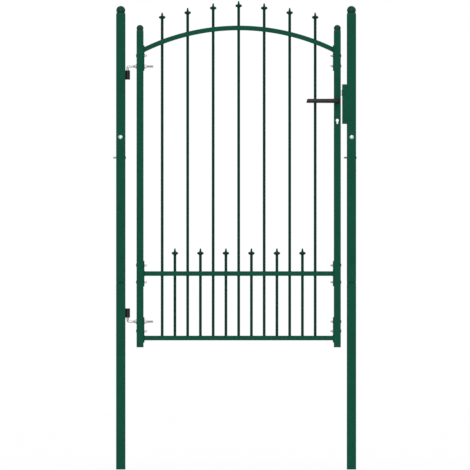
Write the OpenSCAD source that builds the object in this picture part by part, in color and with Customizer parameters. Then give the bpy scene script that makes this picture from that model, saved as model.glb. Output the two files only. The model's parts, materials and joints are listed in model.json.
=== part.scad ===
// Spiked garden gate: a leaf with an arched top hung between two posts.
// Millimetres. The origin is the middle of the hinge post's foot, +Z is up,
// +X runs from the hinge post to the latch post, and -Y is the street side.

/* [Posts] */
// Side of the square post tube
post_side = 40; // [36:1:60]
// Wall of the post tube
post_wall = 1.5; // [1.2:0.1:2.4]
// Outside corner radius of the post tube
post_corner = 3; // [2.6:0.1:6]
// Height of a post from its foot to the top of its ball
post_h = 2000; // [1850:1:2300]
// Height of the joint between the lower and the upper post length
post_joint_z = 806; // [720:1:1200]
// Width of the groove that shows at that joint
joint_gap = 2; // [0.6:0.1:3]
// Length of the sleeve inside that joint
sleeve_h = 160; // [100:1:260]
// Diameter of the ball on a post
post_ball_d = 39; // [30:1:60]
// Height of the ball's centre above its flange on a post
post_ball_rise = 11.5; // [4:0.5:14]
// Height of the flange under a ball
flange_t = 6.5; // [6:0.5:12]
// Height of the slope round that flange
flange_slope_h = 5.5; // [3:0.5:5.5]
// Width of the slope round that flange
flange_slope_w = 1.2; // [0.5:0.1:3]
// Height of the through bolt for a neighbouring fence
fence_bolt_z = 1345; // [1250:1:1450]
// Diameter of that bolt
fence_bolt_d = 8; // [6:1:12]
// Length of that bolt outside the post
fence_stud_h = 13; // [8:1:40]

/* [Leaf frame] */
// Width of the leaf over both stiles
leaf_w = 881; // [700:1:1200]
// Height of the leaf's feet above the feet of the posts
leaf_lift = 527; // [460:1:650]
// Height of a stile from its foot to the top of its ball
stile_h = 1391; // [1300:1:1560]
// Side of the square stile tube
stile_side = 30; // [28:1:40]
// Wall of the stile tube
stile_wall = 1.5; // [1.2:0.1:2]
// Outside corner radius of the stile tube
stile_corner = 2.5; // [2.2:0.1:4]
// Diameter of the ball on a stile
stile_ball_d = 30; // [22:1:40]
// Height of the ball's centre above its flange on a stile
stile_ball_rise = 7; // [2:0.5:10]
// Side of the square rail tube
rail_side = 20; // [18:1:28]
// Wall of the rail tube
rail_wall = 1.2; // [1:0.1:2]
// Outside corner radius of the rail tube
rail_corner = 2; // [2:0.1:3]
// Height of the bottom rail's axis above the leaf's feet
bottom_rail_rise = 40; // [30:1:80]
// Height of the middle rail's axis above the bottom rail's
middle_rail_rise = 278; // [220:1:400]
// Depth of the arch's ends below the top of the stile tubes
arch_drop = 80; // [60:1:140]
// Rise of the arch between its ends and its crown
arch_rise = 95; // [60:1:160]
// Thickness of the end plates
plate_t = 4; // [3:0.5:6]
// Height of the end plates
plate_h = 110; // [95:1:140]
// Distance of a rail's axis from the near end of its end plate
plate_edge = 20; // [18:1:26]
// Distance of the hook bolts from the far end of their end plates
hook_edge = 19; // [15:1:30]

/* [Pickets] */
// Diameter of the picket bars
picket_d = 12; // [8:0.5:14]
// Number of tall pickets
tall_count = 7; // [5:2:9]
// Distance between a stile and the axis of the first tall picket
picket_margin = 80.5; // [50:0.5:110]
// Height of the middle spear's tip above the arch's crown
spear_rise = 117; // [80:1:200]
// Drop of the first spears on either side of the middle one
first_drop = 10; // [0:1:30]
// Drop of each further spear
next_drop = 20; // [0:1:30]
// Height of the short spears' tips above the middle rail's axis
short_rise = 109; // [70:1:200]
// Height of a spear head from its flare to its tip
spear_h = 30; // [29:1:60]
// Diameter of the spear's collar
collar_d = 28.5; // [24:0.5:40]
// Depth of the collar's rim below the tip
collar_drop = 20.5; // [14:0.5:24]
// Height of the collar's rim
collar_rim = 2.5; // [1:0.5:4]
// Height of the shoulder above the rim
shoulder_h = 4.5; // [1:0.5:6]
// Inset of the shoulder's top edge from the rim
shoulder_in = 2.5; // [1:0.5:4]
// Height of the ledge between the shoulder's top edge and the point
ledge_h = 1; // [0.5:0.1:1.5]
// Diameter of the point at the ledge
point_base_d = 10.5; // [8:0.5:14]
// Diameter of the rounded end of the point
point_tip_d = 6; // [3:0.5:8]

/* [Hinges] */
// Diameter of the hinge barrels
barrel_d = 20; // [18:0.5:26]
// Height of the hinge barrels
barrel_h = 40; // [30:1:60]
// Diameter of the hook bolts
hook_d = 10; // [8:0.5:12]
// Radius of the hook bolts' bend, at the middle of the bar
hook_bend = 8; // [7:0.5:14]
// Distance from a hook bolt's level stretch to the mouth of its barrel
hook_rise = 17; // [15:0.5:24]
// Length of a hook bolt beyond the hinge stile
hook_tail = 42; // [30:1:60]
// Gap between the hinge post and the hinge stile
hinge_gap = 48; // [44:1:70]

/* [Lock and lever] */
// Height of the lever's spindle above the leaf's feet
spindle_rise = 1063; // [960:1:1120]
// Height of the latch tongue's middle above the spindle
latch_rise = 34; // [32:1:50]
// Height of the latch tongue
latch_h = 25; // [18:1:28]
// Width of the latch tongue
latch_w = 13; // [10:0.5:14]
// Depth of the latch tongue inside the keep
latch_entry = 8; // [5:0.5:10]
// Gap between the latch stile and the keep
latch_gap = 6; // [5:0.5:10]
// Height of the dead bolt's middle above the keyhole
bolt_rise = 28; // [26:1:34]
// Height of the dead bolt
bolt_h = 22; // [16:1:24]
// Width of the dead bolt
bolt_w = 10; // [8:0.5:13]
// Depth of the thrown dead bolt inside the keep
bolt_entry = 8; // [5:0.5:10]
// Depth of the keep, from the latch post towards the leaf
keep_depth = 20; // [16:1:30]
// Height of the keep
keep_h = 171; // [120:1:220]
// Height of the keep above the latch tongue's top
keep_over = 25; // [15:1:40]
// Wall of the keep
keep_wall = 2; // [1.5:0.1:3]
// Outside radius of the keep's folds
keep_fold = 3; // [2:0.5:5]
// Depth of the keyhole below the spindle
keyhole_drop = 84; // [60:1:100]
// Diameter of the keyhole's round head
keyhole_d = 13; // [10:0.5:14]
// Width of the keyhole's slot
keyhole_slot = 6.5; // [5:0.5:8]
// Length of the keyhole's slot below the middle of its head
keyhole_leg = 15; // [12:0.5:18]
// Length of the lever from the spindle to its free end
lever_len = 134; // [100:1:160]
// Diameter of the lever's bar
lever_d = 18; // [14:0.5:19]
// Distance of the lever's bar from the stile, at the middle of the bar
lever_reach = 44; // [36:1:60]
// Radius of the lever's elbow, at the middle of the bar
lever_bend = 14; // [11:0.5:20]
// Slant of the lever's cut end
lever_slant = 15; // [0:1:30]
// Diameter of the roses
rose_d = 23; // [22:0.5:32]
// Thickness of the roses
rose_t = 5; // [3:0.5:8]

/* [Fits] */
// Gap round a picket or a bolt in a punched hole
hole_fit = 0.3; // [0.2:0.05:0.5]
// Gap round a hook bolt in its barrel
pin_fit = 0.1; // [0.05:0.05:0.3]
// Gap round a plug or a sleeve inside a tube
plug_fit = 0.2; // [0.1:0.05:0.4]
// Gap round the sliding and turning lock parts
lock_fit = 0.3; // [0.2:0.05:0.5]
// Gap round the latch tongue and the dead bolt in the keep's slots
keep_fit = 2; // [1:0.5:3]
// Gap between the keep and the post that it is welded to
weld_fit = 0.1; // [0.05:0.05:0.3]

/* [Hidden] */
$fn = 48;
BALL_FN = 96;
ARCH_FN = 360;
// Length by which a cutting body passes the face that it cuts
CUT = 1;
// Angle by which the bent arch passes each of its cut ends
ARCH_SPARE = 1;
GREEN = "#184d38";
BLACK = "#1c1b1b";
ZINC = "#b9bab8";

// Caps and plugs
plug_flange = 3;
plug_h = 18;
plug_wall = 2;
sleeve_wall = 1.5;
inside_corner_min = 0.2;
stem_corner_min = 0.4;

// Lock parts that stay out of sight
face_t = stile_wall;
face_margin = 1.5;
face_w = stile_side - 2 * (stile_corner + face_margin);
face_over = 12;
case_back = 1.5;
case_margin = 2;
case_w = stile_side - 2 * (stile_wall + case_margin);
case_over = 8;
bolt_room = 2;
latch_spare = 0.5;
hub_d = 18;
spindle_side = 8;
spindle_hole_d = 14;
socket_h = 18;
barrel_foot_w = 14;
pin_short = 2;
dome_d = 14;
dome_h = 2.5;
thread_drop = 0.2;

// Places along X
hinge_stile_x = post_side / 2 + hinge_gap + stile_side / 2;
latch_stile_x = hinge_stile_x + leaf_w - stile_side;
post_pitch = post_side + hinge_gap + leaf_w + latch_gap + keep_depth;
leaf_mid_x = (hinge_stile_x + latch_stile_x) / 2;
hinge_x = post_side / 2 + barrel_d / 2;
clear_w = leaf_w - 2 * stile_side;
rail_w = clear_w - 2 * plate_t;
picket_pitch = (clear_w - 2 * picket_margin) / (tall_count - 1);
short_count = tall_count - 1;

// Places along Z
post_tube_top = post_h - post_ball_d / 2 - post_ball_rise - flange_t;
stile_tube_top = leaf_lift + stile_h - stile_ball_d / 2 - stile_ball_rise - flange_t;
bottom_rail_z = leaf_lift + bottom_rail_rise;
middle_rail_z = bottom_rail_z + middle_rail_rise;
arch_end_z = stile_tube_top - arch_drop;
crown_z = arch_end_z + arch_rise;
arch_r = (pow(clear_w / 2, 2) + pow(arch_rise, 2)) / (2 * arch_rise);
arch_half_angle = asin(clear_w / 2 / arch_r) + ARCH_SPARE;
top_plate_z = arch_end_z + plate_edge - plate_h;
middle_plate_z = middle_rail_z - plate_h / 2;
bottom_plate_z = bottom_rail_z - plate_edge;
upper_hook_z = top_plate_z + hook_edge;
lower_hook_z = bottom_plate_z + plate_h - hook_edge;
spindle_z = leaf_lift + spindle_rise;
latch_z = spindle_z + latch_rise;
keyhole_z = spindle_z - keyhole_drop;
bolt_z = keyhole_z + bolt_rise;
keep_z = latch_z + latch_h / 2 + keep_over - keep_h;
case_top = latch_z + latch_h / 2 + case_over;
case_bottom = keyhole_z - keyhole_leg - case_over;

// Latch travel: the tongue is drawn a little past flush with the lock's face
latch_throw = latch_gap + latch_entry;
latch_travel = latch_throw + latch_spare;
latch_tail = stile_side - stile_wall - case_back - latch_travel;
bolt_len = stile_side - stile_wall - case_back - bolt_room - lock_fit;

TALL = [for (i = [1 : tall_count]) str("tall_picket_", i)];
SHORT = [for (i = [1 : short_count]) str("short_picket_", i)];

// A rectangle of width w and depth d with round corners
module rounded(w, d, r) {
    square([w - 2 * r, d], center = true);
    square([w, d - 2 * r], center = true);
    for (x = [-1, 1], y = [-1, 1])
        translate([x * (w / 2 - r), y * (d / 2 - r)])
            circle(r);
}

// The section of a square tube with rolled corners
module tube_section(side, wall, corner) {
    inside = side - 2 * wall;
    difference() {
        rounded(side, side, corner);
        rounded(inside, inside, max(corner - wall, inside_corner_min));
    }
}

// An upright tube between two heights
module upright(side, wall, corner, low, high) {
    translate([0, 0, low])
        linear_extrude(high - low)
            tube_section(side, wall, corner);
}

// The hollow stem that holds a cap or a plug inside a tube
module stem(side, wall, corner, length) {
    inside = side - 2 * wall - 2 * plug_fit;
    linear_extrude(length)
        tube_section(inside, plug_wall, max(corner - wall, stem_corner_min));
}

// A square slab with round corners whose sides slope inwards all round near its top
module sloped_slab(side, corner, height, slope_w, slope_h) {
    foot = side / 2 + slope_w * (height - slope_h) / slope_h;
    profile = [
        [-foot, 0],
        [foot, 0],
        [side / 2 - slope_w, height],
        [-side / 2 + slope_w, height]
    ];
    intersection() {
        linear_extrude(height)
            rounded(side, side, corner);
        rotate([90, 0, 0])
            linear_extrude(2 * side, center = true)
                polygon(profile);
        rotate([90, 0, 90])
            linear_extrude(2 * side, center = true)
                polygon(profile);
    }
}

// A ball cap that stands on the end of a tube at z = 0
module ball_cap(side, wall, corner, ball_d, ball_rise) {
    sloped_slab(side, corner, flange_t, flange_slope_w, flange_slope_h);
    translate([0, 0, flange_t + ball_rise])
        intersection() {
            sphere(d = ball_d, $fn = BALL_FN);
            translate([0, 0, ball_d / 2 - ball_rise - flange_t / 2])
                cube([2 * ball_d, 2 * ball_d, ball_d], center = true);
        }
    translate([0, 0, -plug_h])
        stem(side, wall, corner, plug_h);
}

// A foot plug whose flange lies below the end of a tube at z = 0
module foot_plug(side, wall, corner) {
    translate([0, 0, -plug_flange])
        linear_extrude(plug_flange)
            rounded(side, side, corner);
    stem(side, wall, corner, plug_h);
}

// Post lengths: the cut is the hole for the fence bolt
module post_length(low, high) {
    color(GREEN)
        difference() {
            upright(post_side, post_wall, post_corner, low, high);
            translate([0, 0, fence_bolt_z])
                rotate([0, 90, 0])
                    cylinder(d = fence_bolt_d + 2 * hole_fit, h = 2 * post_side, center = true);
        }
}

module hinge_post_lower() {
    post_length(plug_flange, post_joint_z - joint_gap / 2);
}

module hinge_post_upper() {
    post_length(post_joint_z + joint_gap / 2, post_tube_top);
}

module latch_post_lower() {
    translate([post_pitch, 0, 0])
        hinge_post_lower();
}

module latch_post_upper() {
    translate([post_pitch, 0, 0])
        hinge_post_upper();
}

module hinge_post_cap() {
    color(GREEN)
        translate([0, 0, post_tube_top])
            ball_cap(post_side, post_wall, post_corner, post_ball_d, post_ball_rise);
}

module latch_post_cap() {
    translate([post_pitch, 0, 0])
        hinge_post_cap();
}

module post_sleeves() {
    side = post_side - 2 * post_wall - 2 * plug_fit;
    color(BLACK)
        for (x = [0, post_pitch])
            translate([x, 0, 0])
                upright(side, sleeve_wall, max(post_corner - post_wall, stem_corner_min),
                    post_joint_z - sleeve_h / 2, post_joint_z + sleeve_h / 2);
}

module post_feet() {
    color(BLACK)
        for (x = [0, post_pitch])
            translate([x, 0, plug_flange])
                foot_plug(post_side, post_wall, post_corner);
}

// A low dome of a given height on a round edge of a given diameter
module dome(diameter, height) {
    radius = (pow(diameter / 2, 2) + pow(height, 2)) / (2 * height);
    intersection() {
        translate([0, 0, height - radius])
            sphere(r = radius, $fn = BALL_FN);
        cylinder(d = diameter, h = height);
    }
}

module fence_bolts() {
    color(ZINC)
        for (x = [0, post_pitch])
            translate([x + post_side / 2, 0, fence_bolt_z])
                rotate([0, 90, 0]) {
                    translate([0, 0, -post_side])
                        cylinder(d = fence_bolt_d, h = post_side);
                    translate([0, 0, -post_side - fence_stud_h])
                        cylinder(d = fence_bolt_d - thread_drop, h = fence_stud_h);
                    dome(dome_d, dome_h);
                }
}

// A barrel with its mouth at z = 0 and its foot welded to the post
module hinge_barrel() {
    color(BLACK)
        translate([hinge_x, 0, -barrel_h])
            difference() {
                union() {
                    cylinder(d = barrel_d, h = barrel_h);
                    translate([-barrel_d / 2, -barrel_foot_w / 2, 0])
                        cube([barrel_d / 2, barrel_foot_w, barrel_h]);
                }
                translate([0, 0, -CUT])
                    cylinder(d = hook_d + 2 * pin_fit, h = barrel_h + 2 * CUT);
            }
}

module upper_hinge_barrel() {
    translate([0, 0, upper_hook_z - hook_rise])
        hinge_barrel();
}

module lower_hinge_barrel() {
    translate([0, 0, lower_hook_z + hook_rise])
        mirror([0, 0, 1])
            hinge_barrel();
}

// A hook bolt whose level stretch lies at z = 0 and whose pin points down
module hinge_hook() {
    pin_h = hook_rise + barrel_h - pin_short - hook_bend;
    tail_x = hinge_stile_x + stile_side / 2 + hook_tail;
    color(ZINC) {
        translate([hinge_x, 0, -hook_bend - pin_h])
            cylinder(d = hook_d, h = pin_h);
        translate([hinge_x + hook_bend, 0, -hook_bend])
            rotate([90, 0, 0])
                rotate([0, 0, 90])
                    rotate_extrude(angle = 90)
                        translate([hook_bend, 0])
                            circle(d = hook_d);
        translate([hinge_x + hook_bend, 0, 0])
            rotate([0, 90, 0])
                cylinder(d = hook_d, h = tail_x - hinge_x - hook_bend);
    }
}

module upper_hinge_hook() {
    translate([0, 0, upper_hook_z])
        hinge_hook();
}

module lower_hinge_hook() {
    translate([0, 0, lower_hook_z])
        mirror([0, 0, 1])
            hinge_hook();
}

// Section of the keep: a channel folded from sheet, flush with the post's front and
// back, whose two flanges are coped to the post's round corners
module keep_section() {
    cope = 0.6 * post_corner;
    post_cut = post_side + 2 * weld_fit;
    difference() {
        union() {
            translate([keep_fold, -post_side / 2])
                square([keep_depth + cope - keep_fold, post_side]);
            translate([0, -post_side / 2 + keep_fold])
                square([2 * keep_fold, post_side - 2 * keep_fold]);
            for (y = [-1, 1])
                translate([keep_fold, y * (post_side / 2 - keep_fold)])
                    circle(keep_fold);
        }
        translate([keep_wall, -post_side / 2 + keep_wall])
            square([keep_depth + post_side, post_side - 2 * keep_wall]);
        translate([keep_depth + post_side / 2, 0])
            rounded(post_cut, post_cut, post_corner + weld_fit);
    }
}

// A slot through the keep's web for a bar of a given height and width
module keep_slot(z, height, width) {
    translate([0, 0, z - keep_z])
        cube([4 * keep_wall, width + 2 * keep_fit, height + 2 * keep_fit], center = true);
}

// The keep, with one slot for the latch tongue and one for the dead bolt
module latch_keep() {
    color(GREEN)
        translate([post_pitch - post_side / 2 - keep_depth, 0, keep_z])
            difference() {
                linear_extrude(keep_h)
                    keep_section();
                keep_slot(latch_z, latch_h, latch_w);
                keep_slot(bolt_z, bolt_h, bolt_w);
            }
}

module stile_tube() {
    upright(stile_side, stile_wall, stile_corner, leaf_lift + plug_flange, stile_tube_top);
}

// Holes for the two hook bolts, through the stile and its end plates
module hook_holes() {
    for (z = [upper_hook_z, lower_hook_z])
        translate([0, 0, z])
            rotate([0, 90, 0])
                cylinder(d = hook_d + 2 * hole_fit, h = 4 * stile_side, center = true);
}

module hinge_stile() {
    color(GREEN)
        translate([hinge_stile_x, 0, 0])
            difference() {
                stile_tube();
                hook_holes();
            }
}

// The keyhole, cut right through along Y
module keyhole() {
    translate([0, 0, keyhole_z])
        rotate([90, 0, 0])
            linear_extrude(4 * stile_side, center = true) {
                circle(d = keyhole_d);
                translate([0, -keyhole_leg / 2])
                    square([keyhole_slot, keyhole_leg], center = true);
            }
}

module latch_stile() {
    face_h = case_top - case_bottom + 2 * face_over;
    color(GREEN)
        translate([latch_stile_x, 0, 0])
            difference() {
                stile_tube();
                keyhole();
                translate([0, 0, spindle_z])
                    rotate([90, 0, 0])
                        cylinder(d = spindle_hole_d, h = 2 * stile_side, center = true);
                translate([stile_side / 2, 0, (case_top + case_bottom) / 2])
                    cube([4 * stile_wall, face_w + 2 * plug_fit, face_h + 2 * plug_fit], center = true);
            }
}

module stile_cap() {
    color(GREEN)
        translate([0, 0, stile_tube_top])
            ball_cap(stile_side, stile_wall, stile_corner, stile_ball_d, stile_ball_rise);
}

module hinge_stile_cap() {
    translate([hinge_stile_x, 0, 0])
        stile_cap();
}

module latch_stile_cap() {
    translate([latch_stile_x, 0, 0])
        stile_cap();
}

module stile_feet() {
    color(BLACK)
        for (x = [hinge_stile_x, latch_stile_x])
            translate([x, 0, leaf_lift + plug_flange])
                foot_plug(stile_side, stile_wall, stile_corner);
}

// Distance of a picket from the middle of the leaf
function tall_x(i) = (i - (tall_count + 1) / 2) * picket_pitch;
function short_x(i) = (i - (short_count + 1) / 2) * picket_pitch;

// Punched holes for a row of pickets, between two heights
module picket_holes(places, low, high) {
    for (x = places)
        translate([x, 0, low])
            cylinder(d = picket_d + 2 * hole_fit, h = high - low);
}

module tall_holes(low, high) {
    picket_holes([for (i = [1 : tall_count]) tall_x(i)], low, high);
}

module short_holes(low, high) {
    picket_holes([for (i = [1 : short_count]) short_x(i)], low, high);
}

// The arched rail: a tube section carried round the arch, cut upright at its ends
module top_arch() {
    color(GREEN)
        translate([leaf_mid_x, 0, 0])
            difference() {
                intersection() {
                    translate([0, 0, crown_z - arch_r])
                        rotate([90, 0, 0])
                            rotate([0, 0, 90 - arch_half_angle])
                                rotate_extrude(angle = 2 * arch_half_angle, $fn = ARCH_FN)
                                    translate([arch_r, 0])
                                        tube_section(rail_side, rail_wall, rail_corner);
                    translate([0, 0, crown_z])
                        cube([rail_w, 2 * rail_side, 4 * arch_rise], center = true);
                }
                tall_holes(arch_end_z - 2 * rail_side, crown_z + 2 * rail_side);
            }
}

module level_rail(z) {
    translate([-rail_w / 2, 0, z])
        rotate([90, 0, 90])
            linear_extrude(rail_w)
                tube_section(rail_side, rail_wall, rail_corner);
}

module middle_rail() {
    color(GREEN)
        translate([leaf_mid_x, 0, 0])
            difference() {
                level_rail(middle_rail_z);
                tall_holes(middle_rail_z - rail_side, middle_rail_z + rail_side);
                short_holes(middle_rail_z - rail_side, middle_rail_z + rail_side);
            }
}

// The pickets enter the bottom rail from above and stand on its lower wall
module bottom_rail() {
    color(GREEN)
        translate([leaf_mid_x, 0, 0])
            difference() {
                level_rail(bottom_rail_z);
                tall_holes(bottom_rail_z, bottom_rail_z + rail_side);
                short_holes(bottom_rail_z, bottom_rail_z + rail_side);
            }
}

// Three end plates against the inner side of a stile, at x from 0 to plate_t
module end_plates() {
    for (z = [top_plate_z, middle_plate_z, bottom_plate_z])
        translate([0, 0, z + plate_h / 2])
            rotate([90, 0, 90])
                linear_extrude(plate_t)
                    rounded(stile_side, plate_h, stile_corner);
}

module hinge_end_plates() {
    color(GREEN)
        translate([hinge_stile_x + stile_side / 2, 0, 0])
            difference() {
                end_plates();
                hook_holes();
            }
}

module latch_end_plates() {
    color(GREEN)
        translate([latch_stile_x - stile_side / 2 - plate_t, 0, 0])
            end_plates();
}

// Profile of a picket: bar, flare, collar, shoulder, ledge and rounded point
FLARE_STEPS = 8;
POINT_STEPS = 4;
function flare(tip) = [
    for (i = [0 : FLARE_STEPS])
        let (rise = i / FLARE_STEPS)
            [
                picket_d / 2 + (collar_d - picket_d) / 4 * (1 - cos(180 * rise)),
                tip - spear_h + (spear_h - collar_drop - collar_rim) * rise
            ]
];
function point(tip) = [
    for (i = [0 : POINT_STEPS])
        let (a = 90 * i / POINT_STEPS)
            [point_tip_d / 2 * cos(a), tip - point_tip_d / 2 * (1 - sin(a))]
];
function picket_profile(foot, tip) = concat(
    [[0, foot], [picket_d / 2, foot]],
    flare(tip),
    [
        [collar_d / 2, tip - collar_drop],
        [collar_d / 2 - shoulder_in, tip - collar_drop + shoulder_h],
        [point_base_d / 2, tip - collar_drop + shoulder_h + ledge_h]
    ],
    point(tip)
);

module picket(x, tip) {
    foot = bottom_rail_z - rail_side / 2 + rail_wall;
    color(GREEN)
        translate([leaf_mid_x + x, 0, 0])
            rotate_extrude()
                polygon(picket_profile(foot, tip));
}

// Drop of a tall spear that stands n places from the middle one
function drop(n) = n < 1 ? first_drop * n : first_drop + next_drop * (n - 1);

module tall_picket(i) {
    picket(tall_x(i), crown_z + spear_rise - drop(abs(i - (tall_count + 1) / 2)));
}

module short_picket(i) {
    picket(short_x(i), middle_rail_z + short_rise);
}

// The lock: a face plate let into the stile and the case behind it
module lock_case() {
    face_h = case_top - case_bottom + 2 * face_over;
    case_front = stile_side / 2 - face_t;
    case_depth = stile_side - stile_wall - face_t - case_back;
    mid_z = (case_top + case_bottom) / 2;
    color(ZINC)
        translate([latch_stile_x, 0, 0])
            difference() {
                union() {
                    translate([stile_side / 2 - face_t / 2, 0, mid_z])
                        cube([face_t, face_w, face_h], center = true);
                    translate([case_front - case_depth / 2, 0, mid_z])
                        cube([case_depth, case_w, case_top - case_bottom], center = true);
                }
                keyhole();
                translate([0, 0, spindle_z])
                    rotate([90, 0, 0])
                        cylinder(d = hub_d + 2 * lock_fit, h = 2 * stile_side, center = true);
                translate([0, 0, latch_z])
                    cube([2 * stile_side, latch_w + 2 * lock_fit, latch_h + 2 * lock_fit], center = true);
                translate([0, 0, bolt_z])
                    cube([2 * stile_side, bolt_w + 2 * lock_fit, bolt_h + 2 * lock_fit], center = true);
            }
}

// The dead bolt, drawn back flush with the lock's face
module dead_bolt() {
    face_x = latch_stile_x + stile_side / 2;
    color(ZINC)
        translate([face_x - lock_fit - bolt_len, -bolt_w / 2, bolt_z - bolt_h / 2])
            cube([bolt_len, bolt_w, bolt_h]);
}

// The latch tongue, bevelled on the side that meets the keep first
module latch_tongue() {
    face_x = latch_stile_x + stile_side / 2;
    bevel_start = latch_throw / 3;
    nose_w = latch_w / 4;
    outline = [
        [-latch_tail, -latch_w / 2],
        [bevel_start, -latch_w / 2],
        [latch_throw, latch_w / 2 - nose_w],
        [latch_throw, latch_w / 2],
        [-latch_tail, latch_w / 2]
    ];
    color(ZINC)
        translate([face_x, 0, latch_z - latch_h / 2])
            linear_extrude(latch_h)
                polygon(outline);
}

// The square spindle with the round hub that turns in the lock case
module spindle() {
    spindle_len = stile_side + 2 * socket_h;
    color(ZINC)
        translate([latch_stile_x, 0, spindle_z])
            rotate([90, 0, 0]) {
                cube([spindle_side, spindle_side, spindle_len], center = true);
                cylinder(d = hub_d, h = case_w, center = true);
            }
}

// The front rose, a ring on the face of the stile
module rose() {
    color(BLACK)
        translate([latch_stile_x, -stile_side / 2, spindle_z])
            rotate([90, 0, 0])
                difference() {
                    cylinder(d = rose_d, h = rose_t);
                    translate([0, 0, -CUT])
                        cylinder(d = lever_d + 2 * lock_fit, h = rose_t + 2 * CUT);
                }
}

// The front lever: neck, elbow and bar, with a square socket for the spindle
module lever() {
    neck_h = lever_reach - lever_bend - lock_fit;
    color(BLACK)
        translate([latch_stile_x, -stile_side / 2 - lock_fit, spindle_z])
            difference() {
                union() {
                    rotate([90, 0, 0])
                        cylinder(d = lever_d, h = neck_h);
                    translate([-lever_bend, -neck_h, 0])
                        rotate([0, 0, -90])
                            rotate_extrude(angle = 90)
                                translate([lever_bend, 0])
                                    circle(d = lever_d);
                    translate([-lever_bend, -neck_h - lever_bend, 0])
                        rotate([0, -90, 0])
                            cylinder(d = lever_d, h = lever_len - lever_bend);
                }
                translate([-lever_len, 0, -lever_d / 2])
                    rotate([0, lever_slant, 0])
                        translate([-lever_d, 0, 0])
                            cube([2 * lever_d, 4 * lever_reach, 4 * lever_d], center = true);
                cube([spindle_side + 2 * plug_fit, 2 * socket_h, spindle_side + 2 * plug_fit], center = true);
            }
}

module front_rose() {
    rose();
}

module back_rose() {
    mirror([0, 1, 0])
        rose();
}

module front_lever() {
    lever();
}

module back_lever() {
    mirror([0, 1, 0])
        lever();
}

hinge_post_lower();
hinge_post_upper();
hinge_post_cap();
latch_post_lower();
latch_post_upper();
latch_post_cap();
post_sleeves();
post_feet();
fence_bolts();
upper_hinge_barrel();
lower_hinge_barrel();
latch_keep();
hinge_stile();
latch_stile();
hinge_stile_cap();
latch_stile_cap();
stile_feet();
top_arch();
middle_rail();
bottom_rail();
hinge_end_plates();
latch_end_plates();
upper_hinge_hook();
lower_hinge_hook();
lock_case();
front_rose();
back_rose();
front_lever();
back_lever();
spindle();
latch_tongue();
dead_bolt();
for (i = [1 : tall_count])
    tall_picket(i);
for (i = [1 : short_count])
    short_picket(i);
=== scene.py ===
"""Looks of a spiked garden gate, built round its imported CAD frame."""

import json
import math

import bmesh
import bpy
import numpy as np
from bpy.props import FloatProperty, FloatVectorProperty, IntProperty, PointerProperty
from bpy.types import Operator, Panel, PropertyGroup
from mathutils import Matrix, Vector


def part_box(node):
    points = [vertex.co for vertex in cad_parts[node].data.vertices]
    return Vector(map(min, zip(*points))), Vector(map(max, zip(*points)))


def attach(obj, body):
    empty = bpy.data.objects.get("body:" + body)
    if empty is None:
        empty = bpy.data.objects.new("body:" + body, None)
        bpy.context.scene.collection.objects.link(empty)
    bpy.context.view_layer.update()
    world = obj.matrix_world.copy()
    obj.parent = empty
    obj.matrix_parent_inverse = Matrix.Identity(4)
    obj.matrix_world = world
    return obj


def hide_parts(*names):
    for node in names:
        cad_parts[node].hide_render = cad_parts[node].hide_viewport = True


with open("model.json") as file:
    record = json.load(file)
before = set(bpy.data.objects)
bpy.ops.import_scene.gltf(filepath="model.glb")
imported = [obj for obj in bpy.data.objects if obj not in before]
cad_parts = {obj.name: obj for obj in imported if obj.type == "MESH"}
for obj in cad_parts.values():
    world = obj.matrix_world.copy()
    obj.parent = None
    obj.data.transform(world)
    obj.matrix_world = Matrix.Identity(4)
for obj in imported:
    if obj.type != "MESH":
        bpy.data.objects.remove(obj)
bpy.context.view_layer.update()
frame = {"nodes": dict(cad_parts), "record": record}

bl_info = {
    "name": "Spiked Garden Gate",
    "version": (1, 0, 0),
    "blender": (4, 5, 0),
    "location": "View3D > Sidebar > Gate",
    "description": "Adds the pickets, caps, levers, fasteners, welds, finishes and studio of a gate",
    "category": "Add Mesh",
}

MM = 0.001


def corners(node):
    """Lowest and highest corner of a CAD node's box, in metres."""
    return [np.array(corner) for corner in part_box(node)]


def middle(node):
    """Middle of a CAD node's box."""
    low, high = corners(node)
    return (low + high) / 2


# Places read from the frame
POST_LOW, POST_HIGH = corners("hinge_post_upper")
LATCH_POST_LOW = corners("latch_post_upper")[0]
POSTS_X = np.array([middle("hinge_post_upper")[0], middle("latch_post_upper")[0]])
STILE_LOW = corners("hinge_stile")[0]
LATCH_STILE_HIGH = corners("latch_stile")[1]
PLATE_HIGH = corners("hinge_end_plates")[1]
LATCH_PLATE_LOW = corners("latch_end_plates")[0]
BARRELS = [corners(f"{place}_hinge_barrel") for place in ("upper", "lower")]
HOOKS = {place: corners(f"{place}_hinge_hook") for place in ("upper", "lower")}
LEVER_LOW, LEVER_HIGH = corners("front_lever")
ROSE_LOW, ROSE_HIGH = corners("front_rose")
KEEP_LOW, KEEP_HIGH = corners("latch_keep")
LOCK_LOW, LOCK_HIGH = corners("lock_case")
ARCH_LOW, ARCH_HIGH = corners("top_arch")
MIDDLE_LOW, MIDDLE_HIGH = corners("middle_rail")
BOTTOM_HIGH = corners("bottom_rail")[1]
RAIL_W = MIDDLE_HIGH[1] - MIDDLE_LOW[1]
TALL = [f"tall_picket_{i}" for i in range(1, 8)]
SHORT = [f"short_picket_{i}" for i in range(1, 7)]


def linear(code):
    """An sRGB hex colour as linear red, green and blue."""
    srgb = np.array([int(code[i:i + 2], 16) for i in (1, 3, 5)]) / 255
    low = srgb / 12.92
    high = ((srgb + 0.055) / 1.055) ** 2.4
    return tuple(float(c) for c in np.where(srgb <= 0.04045, low, high))


def mm_size(name, description, size):
    """A property for a length, with its default in millimetres."""
    return FloatProperty(name=name, description=description, default=size * MM, unit="LENGTH")


def hex_colour(name, description, code):
    """A property for a colour, with its default as a hex code."""
    return FloatVectorProperty(
        name=name, description=description, default=linear(code), size=3, subtype="COLOR")


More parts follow.
